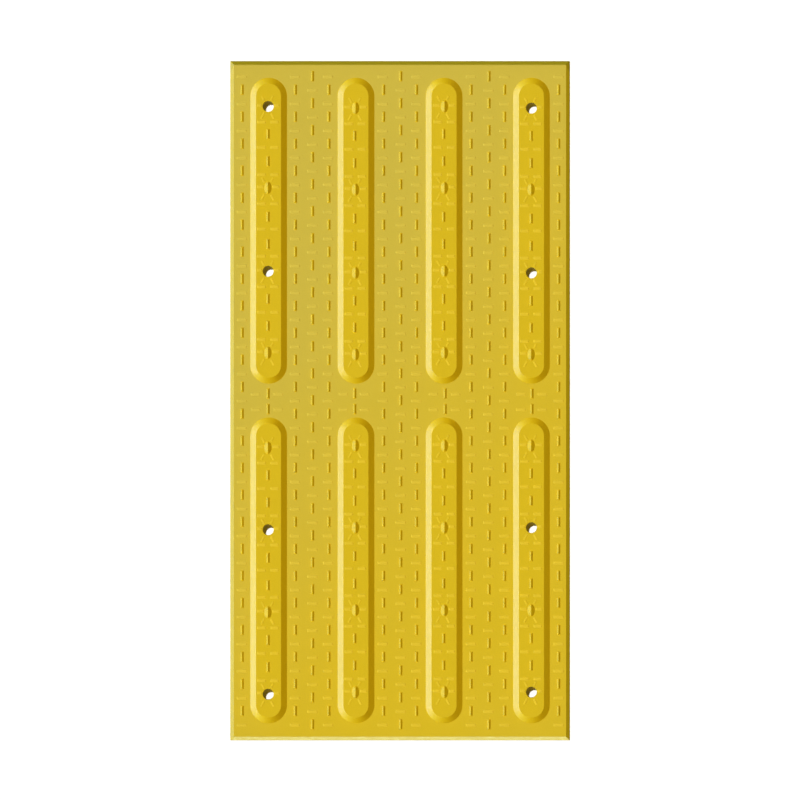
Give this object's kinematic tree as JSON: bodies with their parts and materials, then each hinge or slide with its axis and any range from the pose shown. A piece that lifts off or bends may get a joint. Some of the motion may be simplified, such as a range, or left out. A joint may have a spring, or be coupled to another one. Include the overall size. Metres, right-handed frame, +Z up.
{
  "type": "tactile paving slab",
  "caption": "Thin moulded directional tactile paving plate with long raised guide bars, grip pips, bevelled rim and through holes for surface fixing.",
  "frame": {"origin": "middle of the flat underside", "axes": "+Z up out of the walking surface, +Y along the 600 mm side and the guide bars, +X across the plate; the picture's top edge is at +Y and its right edge at +X"},
  "size_m": [0.3, 0.6, 0.0121],
  "materials": {
    "slab_yellow": "satin moulded safety-yellow polymer"
  },
  "bodies": {
    "root": {"slab": "slab_yellow"}
  },
  "joints": []
}
